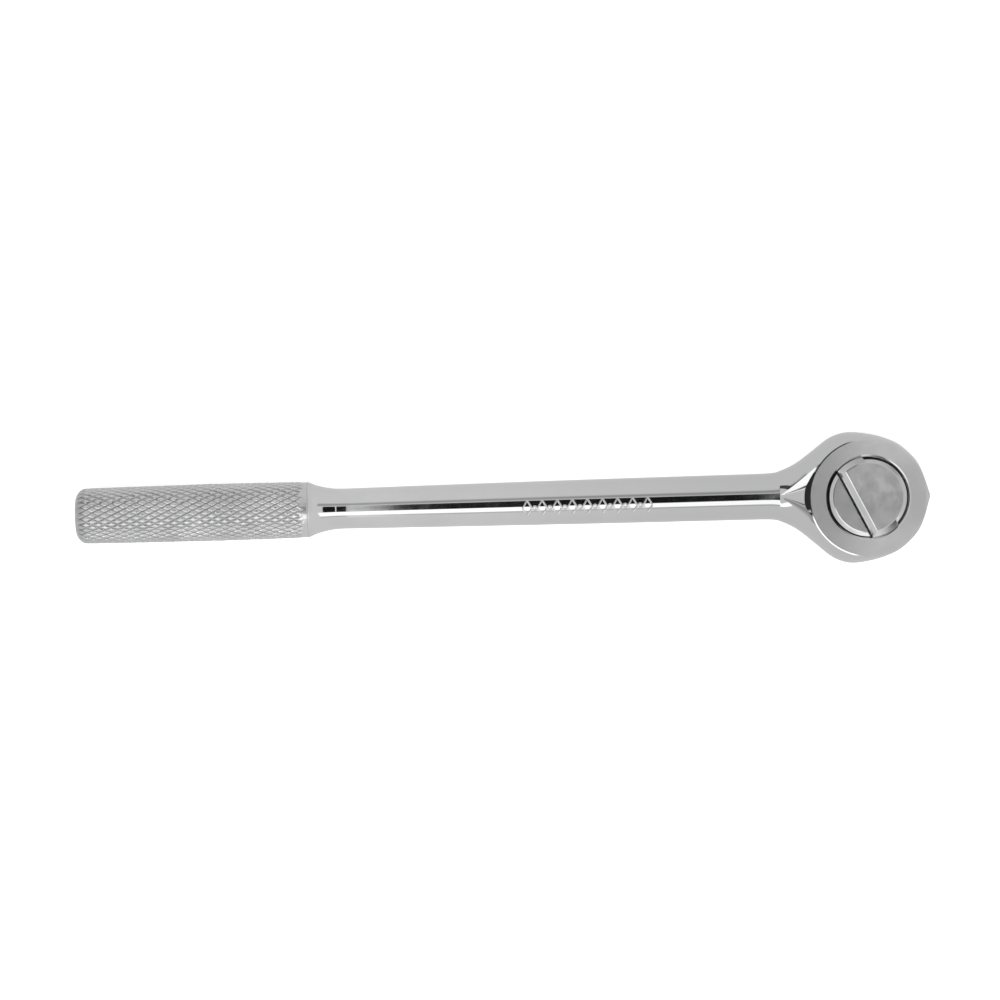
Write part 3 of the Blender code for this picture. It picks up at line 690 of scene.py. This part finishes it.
def build_dial():
    facing = Matrix.Rotation(math.radians(DIAL_ANGLE), 4, "Z")
    edge_out, edge_down = DIAL_FLAT_EDGE
    rim_in, rim_low, rim_high = DIAL_RIM
    dial = turned(
        "dial_knob",
        (
            (DIAL_FLANGE_R, DIAL_FLANGE_Z[0]),
            (DIAL_FLANGE_R, DIAL_FLANGE_Z[1]),
            (DIAL_R, DIAL_FLANGE_Z[1]),
            (DIAL_R, SEAL_Z - 0.5),
            (SEAL_SEAT_R, SEAL_Z - 0.5),
            (SEAL_SEAT_R, SEAL_Z + 0.5),
            (DIAL_R, SEAL_Z + 0.5),
            (DIAL_R, DIAL_LOW_Z - rim_low),
            (DIAL_R - rim_in, DIAL_LOW_Z - rim_high),
            (DIAL_LOW_FLAT_R + edge_out, DIAL_LOW_Z - edge_down),
            (DIAL_LOW_FLAT_R, DIAL_LOW_Z),
        ),
    )
    low, high = DIAL_WALL
    rim_in, rim_low, rim_high = DIAL_RAISED_RIM
    levels = (
        (DIAL_RAISED_R, low, DIAL_WING_R, DIAL_LOW_Z - 1.3),
        (DIAL_RAISED_R, low, DIAL_WING_R, DIAL_LOW_Z - 0.1),
        (DIAL_RAISED_R, high - 0.04, DIAL_WING_R, DIAL_HIGH_Z - rim_low),
        (DIAL_RAISED_R - rim_in, high + 0.03, DIAL_WING_R - rim_in, DIAL_HIGH_Z - rim_high),
        (
            DIAL_HIGH_FLAT_R + edge_out,
            DIAL_CHAMFER_END - edge_out,
            DIAL_HIGH_FLAT_R + edge_out,
            DIAL_HIGH_Z - edge_down,
        ),
        (DIAL_HIGH_FLAT_R, DIAL_CHAMFER_END, DIAL_HIGH_FLAT_R, DIAL_HIGH_Z),
    )
    rings = []
    for radius, chord, wing, z in levels:
        outline = raised_outline(radius, chord, wing)
        rings.append([facing @ Vector((point.x, point.y, z)) for point in outline])
    raised = ring_mesh("cut_raised", rings)
    lug = [polar(LUG_R, LUG_HALF * step / 6.0) for step in range(-6, 7)]
    lug += [polar(DIAL_FLANGE_R - 2.0, LUG_HALF), polar(DIAL_FLANGE_R - 2.0, -LUG_HALF)]
    lug = [facing.to_2x2() @ -point for point in lug]
    lug_body = prism("cut_lug", lug, (DIAL_FLANGE_Z[0] + 0.02, DIAL_FLANGE_Z[1] - 0.02))
    pilot = turned(
        "cut_pilot",
        ((DIAL_PILOT_R, DIAL_FLANGE_Z[0] - 1.0), (DIAL_PILOT_R, DIAL_PILOT_TOP_Z)),
        steps=64,
    )
    sector = [polar(DIAL_GAP_R, DIAL_GAP_SPAN * step / 40.0) for step in range(-40, 41)]
    sector += [polar(DIAL_HOLE_R + 0.4, DIAL_GAP_SPAN * step / 40.0) for step in range(40, -41, -1)]
    sector = [facing.to_2x2() @ point for point in sector]
    gap = prism("cut_gap", sector, (DIAL_FLANGE_Z[1] + 0.05, DIAL_LOW_Z + 0.3))
    outward = Matrix.Translation((0.0, 0.0, PLUNGER_Z)) @ facing
    outward = outward @ Matrix.Rotation(-math.pi / 2, 4, "Y")
    hole = turned(
        "cut_plunger_hole",
        ((PLUNGER_HOLE_R, PLUNGER_HOLE_START), (PLUNGER_HOLE_R, LUG_R + 2.0)),
        steps=32,
        place=outward,
    )
    steps = [("DIFFERENCE", gap), ("UNION", raised), ("UNION", lug_body), ("DIFFERENCE", pilot)]
    apply_booleans(dial, steps + [("DIFFERENCE", hole)])
    shade(dial, 3.5)
    return dial


# ---------------------------------------------------------------- springs


def build_spring(name, start, end, shape):
    """A compression spring between two points; shape is (radius, wire radius, turns)."""
    radius, wire, turns = shape
    facing = Vector((0.0, 0.0, 1.0)).rotation_difference(end - start).to_matrix()
    total = turns * SPRING_STEPS
    rings = []
    for index in range(total + 1):
        bearing = 360.0 * index / SPRING_STEPS
        along = wire + ((end - start).length - 2.0 * wire) * index / total
        ring = []
        for side in range(8):
            offset = polar(wire, 45.0 * side)
            across = polar(radius + offset.x, bearing)
            ring.append(start + facing @ Vector((across.x, across.y, along + offset.y)))
        rings.append(ring)
    spring = ring_mesh(name, rings)
    shade(spring, 60.0)
    return spring


def plunger_spring_ends():
    """Ends of the spring in the dial's hole, the one that stays first."""
    outward = polar(1.0, 180.0 + DIAL_ANGLE)
    return [Vector((outward.x * far, outward.y * far, PLUNGER_Z)) for far in PLUNGER_SPRING_ALONG]


def ball_spring_ends():
    """Ends of the spring behind the square's ball, the one that stays first."""
    return [Vector((0.0, y, BALL_Z)) for y in BALL_SPRING_Y]


# ---------------------------------------------------------------- ornament


def on_shank(along, across):
    """A point on the shank's skin, with across measured round it from the crest."""
    radius = shank_radius(along)
    angle = across / radius
    return (
        Vector((along, HANDLE_OFFSET_Y + radius * math.sin(angle), MID_Z + radius * math.cos(angle))),
        Vector((0.0, math.sin(angle), math.cos(angle))),
    )


def bead(name, path, closed=True, sides=10):
    """A raised half-buried bead that follows a path of (along, across) points."""
    count = len(path)
    rings = []
    for index in range(count):
        here, up = on_shank(*path[index])
        ahead, _ = on_shank(*path[(index + 1) % count])
        behind, _ = on_shank(*path[index - 1])
        along = (ahead - behind).normalized()
        side = along.cross(up).normalized()
        ring = []
        for step in range(sides):
            turn = math.tau * step / sides
            offset = side * math.cos(turn) * ORNAMENT_BEAD_SPREAD + up * math.sin(turn)
            ring.append(here + offset * ORNAMENT_BEAD_R)
        rings.append(ring)
    return ring_mesh(name, rings, closed=closed)


def rounded_path(corners, fillet, steps=6):
    """Close a polygon of (along, across) corners with softened corners."""
    points = []
    count = len(corners)
    for index in range(count):
        corner = Vector(corners[index])
        before = (Vector(corners[index - 1]) - corner).normalized()
        after = (Vector(corners[(index + 1) % count]) - corner).normalized()
        for step in range(steps + 1):
            part = step / steps
            start = corner + before * fillet
            end = corner + after * fillet
            point = start.lerp(corner, part).lerp(corner.lerp(end, part), part)
            points.append(tuple(point))
    return points


def build_ornament():
    pieces = []
    for index in range(ORNAMENT_COUNT):
        x = ORNAMENT_START_X + ORNAMENT_PITCH * index
        y = ORNAMENT_SIDE
        wide, tall = ORNAMENT_HALF
        corners = ((x - wide, y), (x, y - tall), (x + wide, y), (x, y + tall))
        pieces.append(bead(f"lozenge_{index}", rounded_path(corners, ORNAMENT_FILLET)))
        if index < ORNAMENT_COUNT - 1:
            middle = x + ORNAMENT_PITCH / 2.0
            circle = []
            for step in range(18):
                offset = polar(ORNAMENT_CIRCLE_R, 20.0 * step)
                circle.append((middle + offset.x, y + offset.y))
            pieces.append(bead(f"circle_{index}", circle))
    bm = bmesh.new()
    for piece in pieces:
        bm.from_mesh(piece.data)
        bpy.data.objects.remove(piece)
    mesh = bpy.data.meshes.new("raised_ornament")
    bm.to_mesh(mesh)
    bm.free()
    mesh.shade_smooth()
    ornament = bpy.data.objects.new("raised_ornament", mesh)
    bpy.context.collection.objects.link(ornament)
    return ornament


# ---------------------------------------------------------------- materials


class Nodes:
    """Short names for wiring a node tree."""

    def __init__(self, tree):
        self.tree = tree

    def add(self, kind, **settings):
        node = self.tree.nodes.new(kind)
        for key, value in settings.items():
            setattr(node, key, value)
        return node

    def link(self, source, target):
        self.tree.links.new(source, target)

    def feed(self, socket, value):
        if isinstance(value, bpy.types.NodeSocket):
            self.link(value, socket)
        else:
            socket.default_value = value

    def math(self, operation, a, b=0.0, c=0.0):
        node = self.add("ShaderNodeMath", operation=operation)
        for socket, value in zip(node.inputs, (a, b, c)):
            self.feed(socket, value)
        return node.outputs[0]

    def step(self, value, low, high, start=0.0, end=1.0):
        node = self.add("ShaderNodeMapRange", interpolation_type="SMOOTHSTEP")
        self.feed(node.inputs["Value"], value)
        self.feed(node.inputs["From Min"], low)
        self.feed(node.inputs["From Max"], high)
        self.feed(node.inputs["To Min"], start)
        self.feed(node.inputs["To Max"], end)
        return node.outputs["Result"]

    def noise(self, vector, scale, detail=3.0, roughness=0.5):
        node = self.add("ShaderNodeTexNoise")
        self.link(vector, node.inputs["Vector"])
        node.inputs["Scale"].default_value = scale
        node.inputs["Detail"].default_value = detail
        node.inputs["Roughness"].default_value = roughness
        return node.outputs["Fac"]

    def split(self, vector):
        node = self.add("ShaderNodeSeparateXYZ")
        self.link(vector, node.inputs[0])
        return node.outputs

    def mix(self, factor, first, second):
        node = self.add("ShaderNodeMix", data_type="RGBA")
        self.feed(node.inputs["Factor"], factor)
        self.feed(node.inputs[6], first)
        self.feed(node.inputs[7], second)
        return node.outputs[2]

    def stretched(self, vector, scale):
        node = self.add("ShaderNodeMapping")
        self.link(vector, node.inputs["Vector"])
        node.inputs["Scale"].default_value = scale
        return node.outputs["Vector"]

    def bump(self, height, strength, distance, normal=None):
        node = self.add("ShaderNodeBump")
        node.inputs["Strength"].default_value = strength
        node.inputs["Distance"].default_value = distance
        self.link(height, node.inputs["Height"])
        if normal is not None:
            self.link(normal, node.inputs["Normal"])
        return node.outputs["Normal"]


def metal(name, tones, rough, relief, extra=None):
    """Metal with cloudy tone, hairline scratches and uneven gloss.

    tones are the lightest and darkest colour, rough is (least, most) roughness, and
    relief is the strengths of hairlines and of fine unevenness.
    """
    light, dark = tones
    scratch, bumpy = relief
    material = bpy.data.materials.new(name)
    material.use_nodes = True
    tree = material.node_tree
    nodes = Nodes(tree)
    shader = tree.nodes["Principled BSDF"]
    shader.inputs["Metallic"].default_value = 1.0
    where = nodes.add("ShaderNodeTexCoord").outputs["Object"]
    clouds = nodes.noise(where, CLOUD_SCALE, 4.0, 0.6)
    colour = nodes.mix(nodes.step(clouds, 0.3, 0.7), (*light, 1.0), (*dark, 1.0))
    hair = nodes.noise(nodes.stretched(where, HAIR_STRETCH), 1.0, 3.0, 0.7)
    grain = nodes.noise(where, GRAIN_SCALE, 2.0, 0.6)
    smear = nodes.noise(where, SMEAR_SCALE, 5.0, 0.65)
    roughness = nodes.step(smear, 0.25, 0.8, rough[0], rough[1])
    normal = nodes.bump(hair, scratch, RELIEF)
    normal = nodes.bump(grain, bumpy, RELIEF, normal)
    if extra:
        colour, roughness, normal = extra(nodes, where, colour, roughness, normal)
    nodes.link(colour, shader.inputs["Base Color"])
    nodes.link(roughness, shader.inputs["Roughness"])
    nodes.link(normal, shader.inputs["Normal"])
    return material


def knurl_shade_and_matt_end(nodes, where, colour, roughness, normal):
    """Painted shade: darker, rougher metal in the grip's grooves; and a matt round end."""
    groove = nodes.add("ShaderNodeAttribute", attribute_name="groove").outputs["Fac"]
    amount = nodes.step(groove, 0.3, 1.0, 0.0, 0.75)
    # painted shade: darker colour down in the grooves
    colour = nodes.mix(amount, colour, GROOVE_SHADE_TONE)
    roughness = nodes.math("ADD", roughness, nodes.math("MULTIPLY", amount, 0.25))
    x = nodes.split(where)[0]
    end = nodes.step(x, (GRIP_END_X + 1.55) * MM, (GRIP_END_X + 2.95) * MM, 0.4, 0.0)
    roughness = nodes.math("ADD", roughness, end)
    return colour, roughness, normal


def body_finish(nodes, where, colour, roughness, normal):
    """Lathe lines on the boss's face, a deeper tone toward the head, a matt collar."""
    x, y, z = nodes.split(where)
    squares = nodes.math("ADD", nodes.math("MULTIPLY", x, x), nodes.math("MULTIPLY", y, y))
    on_face = nodes.step(z, (BOSS_TOP_Z - 0.06) * MM, (BOSS_TOP_Z - 0.02) * MM)
    lines = nodes.math("SINE", nodes.math("MULTIPLY", nodes.math("SQRT", squares), LATHE_LINES))
    lines = nodes.math("MULTIPLY", lines, on_face)
    normal = nodes.bump(lines, 0.05, LATHE_RELIEF, normal)
    roughness = nodes.math("ADD", roughness, nodes.math("MULTIPLY", on_face, 0.04))
    colour = nodes.mix(nodes.math("MULTIPLY", on_face, 0.35), colour, FACE_TONE)
    start, end = HEAD_TONE_X
    toward_head = nodes.math("SUBTRACT", nodes.step(x, start * MM, end * MM), on_face)
    toward_head = nodes.math("MAXIMUM", toward_head, 0.0)
    colour = nodes.mix(toward_head, colour, HEAD_TONE)
    collar = nodes.step(x, (COLLAR_END_X + 0.2) * MM, (COLLAR_END_X + 1.4) * MM, 0.35, 0.0)
    roughness = nodes.math("ADD", roughness, collar)
    begin = nodes.step(x, SCOOP_START_X * MM, (SCOOP_START_X + 0.8) * MM)
    cease = nodes.step(x, (SCOOP_RIM_X - 0.5) * MM, (SCOOP_RIM_X + 0.5) * MM, 1.0, 0.0)
    crest_z = MID_Z + SHANK_END_R
    high = nodes.step(z, (crest_z - 0.44) * MM, (crest_z - 0.14) * MM)
    scoop = nodes.math("MULTIPLY", nodes.math("MULTIPLY", begin, cease), high)
    roughness = nodes.math("ADD", roughness, nodes.math("MULTIPLY", scoop, 0.03))
    return colour, roughness, normal


def painted_step_shade(nodes, where, colour, roughness, normal):
    """Painted shade: a dark, patchy line along the foot of the dial's step, with rougher metal there.
    """
    x, y, z = nodes.split(where)
    turn = math.radians(DIAL_ANGLE)
    across = nodes.math("MULTIPLY", x, math.cos(turn))
    across = nodes.math("MULTIPLY_ADD", y, math.sin(turn), across)
    near = nodes.math("ABSOLUTE", nodes.math("SUBTRACT", across, (DIAL_WALL[0] + STEP_SHADE_SHIFT) * MM))
    scale, depth = STEP_SHADE_PATCHES
    patchy = nodes.math("MULTIPLY", nodes.noise(where, scale), depth * MM)
    start, end = STEP_SHADE_REACH
    amount = nodes.step(nodes.math("ADD", near, patchy), start * MM, end * MM, 1.0, 0.0)
    start, end = STEP_SHADE_RISE
    low = nodes.step(z, (DIAL_LOW_Z + start) * MM, (DIAL_LOW_Z + end) * MM, 1.0, 0.0)
    amount = nodes.math("MULTIPLY", amount, low)
    # painted shade: dark colour along the foot of the step
    colour = nodes.mix(amount, colour, STEP_SHADE_TONE)
    roughness = nodes.math("ADD", roughness, nodes.math("MULTIPLY", amount, 0.3))
    return colour, roughness, normal


def rubber():
    material = bpy.data.materials.new("oiled_rubber")
    material.use_nodes = True
    nodes = Nodes(material.node_tree)
    shader = material.node_tree.nodes["Principled BSDF"]
    where = nodes.add("ShaderNodeTexCoord").outputs["Object"]
    tone = nodes.noise(where, 700.0, 4.0)
    colour = nodes.mix(tone, (0.008, 0.008, 0.008, 1.0), (0.02, 0.02, 0.02, 1.0))
    nodes.link(colour, shader.inputs["Base Color"])
    nodes.link(nodes.step(tone, 0.3, 0.7, 0.45, 0.65), shader.inputs["Roughness"])
    nodes.link(nodes.bump(nodes.noise(where, 4000.0), 0.2, 0.00003), shader.inputs["Normal"])
    return material


def dress(obj, material):
    obj.data.materials.clear()
    obj.data.materials.append(material)


# ---------------------------------------------------------------- surroundings


def build_world():
    """An even grey room with the patches that the polished metal mirrors."""
    world = bpy.data.worlds.new("studio")
    bpy.context.scene.world = world
    world.use_nodes = True
    tree = world.node_tree
    tree.nodes.clear()
    nodes = Nodes(tree)
    way = nodes.add("ShaderNodeTexCoord").outputs["Generated"]
    x, y, z = nodes.split(way)
    degrees = 180.0 / math.pi
    side = nodes.math("MULTIPLY", nodes.math("ARCTAN2", nodes.math("MULTIPLY", y, -1.0), z), degrees)
    ahead = nodes.math("MULTIPLY", nodes.math("ARCTAN2", x, z), degrees)
    bearing = nodes.math("MULTIPLY", nodes.math("ARCTAN2", y, x), degrees)
    bearing = nodes.math("WRAP", bearing, 360.0, 0.0)
    height = nodes.math("MULTIPLY", nodes.math("ARCSINE", z), degrees)

    def band(value, span):
        low, high, soft_low, soft_high = span
        rise = nodes.step(value, low - soft_low, low + soft_low)
        fall = nodes.step(value, high - soft_high, high + soft_high, 1.0, 0.0)
        return nodes.math("MULTIPLY", rise, fall)

    def paint(tone, mask, level):
        node = nodes.add("ShaderNodeMix", data_type="FLOAT")
        nodes.feed(node.inputs["Factor"], mask)
        nodes.feed(node.inputs[2], tone)
        nodes.feed(node.inputs[3], level)
        return node.outputs[0]

    tone = nodes.step(height, *ROOM_HEIGHT, *ROOM_TONE)
    where = {"side": side, "ahead": ahead, "bearing": bearing, "height": height}
    for spans, level, strength in PATCHES:
        mask = strength
        for axis, span in spans.items():
            mask = nodes.math("MULTIPLY", band(where[axis], span), mask)
        tone = paint(tone, mask, level)

    background = nodes.add("ShaderNodeBackground")
    nodes.link(tone, background.inputs["Color"])
    out = nodes.add("ShaderNodeOutputWorld")
    nodes.link(background.outputs[0], out.inputs["Surface"])


def build_floor():
    """The table: it meets the square's tip edge and the underside of the grip's end."""
    rest_x = GRIP_END_X + TABLE_REST_INSET
    rest_z = MID_Z - GRIP_END_R + TABLE_REST_LIFT
    slope = rest_z / (TABLE_TOUCH_X - rest_x)
    points = []
    for side_x, side_y in ((-1, -1), (1, -1), (1, 1), (-1, 1)):
        x = VIEW_X + side_x * TABLE_HALF
        point = Vector((x, side_y * TABLE_HALF, (TABLE_TOUCH_X - x) * slope))
        points.append(tuple(point * MM))
    mesh = bpy.data.meshes.new("table")
    mesh.from_pydata(points, [], [(0, 1, 2, 3)])
    table = bpy.data.objects.new("table", mesh)
    bpy.context.collection.objects.link(table)
    material = bpy.data.materials.new("white_table")
    material.use_nodes = True
    shader = material.node_tree.nodes["Principled BSDF"]
    shader.inputs["Base Color"].default_value = (0.9, 0.9, 0.9, 1.0)
    shader.inputs["Roughness"].default_value = 0.8
    shader.inputs["Emission Color"].default_value = (1.0, 1.0, 1.0, 1.0)
    shader.inputs["Emission Strength"].default_value = TABLE_GLOW
    mesh.materials.append(material)
    table.visible_glossy = False


def build_light():
    data = bpy.data.lights.new("soft_panel", "AREA")
    data.shape = "RECTANGLE"
    data.size, data.size_y = PANEL_SIZE
    data.energy = PANEL_ENERGY
    light = bpy.data.objects.new("soft_panel", data)
    light.location = PANEL_PLACE
    aim = Vector((VIEW_X * MM, 0.0, PANEL_AIM_Z)) - light.location
    light.rotation_euler = aim.to_track_quat("-Z", "Y").to_euler()
    light.visible_glossy = False
    bpy.context.collection.objects.link(light)


def build_camera():
    data = bpy.data.cameras.new("camera")
    data.sensor_width = SENSOR
    data.lens = SENSOR * VIEW_HEIGHT / VIEW_WIDTH
    data.clip_end = 20.0
    camera = bpy.data.objects.new("camera", data)
    camera.location = (VIEW_X * MM, VIEW_Y * MM, (MID_Z + VIEW_HEIGHT) * MM)
    camera.rotation_euler = (0.0, 0.0, -math.radians(VIEW_ROLL))
    bpy.context.collection.objects.link(camera)
    bpy.context.scene.camera = camera


# ---------------------------------------------------------------- assembly


def main():
    chrome = metal("chrome_plate", CHROME_TONES, (0.03, 0.08), (0.03, 0.02), body_finish)
    knurled = metal("chrome_knurl", KNURL_TONES, (0.16, 0.32), (0.08, 0.25), knurl_shade_and_matt_end)
    satin = metal("satin_dial", SATIN_TONES, (0.12, 0.24), (0.12, 0.15), painted_step_shade)
    ground = metal("ground_steel", GROUND_TONES, (0.16, 0.3), (0.12, 0.05))
    hard = metal("hardened_steel", HARD_TONES, (0.25, 0.45), (0.3, 0.3))
    spring = metal("spring_wire", SPRING_TONES, (0.25, 0.4), (0.2, 0.2))
    bronze = metal("oiled_bronze", BRONZE_TONES, (0.3, 0.45), (0.3, 0.3))

    body = build_body()
    dress(body, chrome)
    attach(body, "handle")
    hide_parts("ratchet_body")

    grip = build_grip()
    dress(grip, knurled)
    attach(grip, "handle")

    ornament = build_ornament()
    dress(ornament, chrome)
    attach(ornament, "handle")

    dial = build_dial()
    dress(dial, satin)
    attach(dial, "dial")
    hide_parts("reverser_dial")

    start, end = plunger_spring_ends()
    pin_spring = build_spring("wound_pin_spring", start, end, PLUNGER_SPRING)
    dress(pin_spring, spring)
    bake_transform(pin_spring)
    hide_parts("plunger_spring")

    start, end = ball_spring_ends()
    ball_spring = build_spring("wound_ball_spring", start, end, BALL_SPRING)
    dress(ball_spring, spring)
    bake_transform(ball_spring)
    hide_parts("tang_ball_spring")

    finishes = {
        "dial_friction_ring": rubber(),
        "plunger": hard,
        "pawl": hard,
        "thrust_washer": bronze,
        "drive_gear": ground,
        "tang_ball": hard,
        "cover_plate": ground,
        "retaining_ring": spring,
    }
    for name, material in finishes.items():
        dress(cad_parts[name], material)

    build_world()
    build_floor()
    build_light()
    build_camera()
    bpy.context.scene.view_settings.view_transform = "Standard"


main()
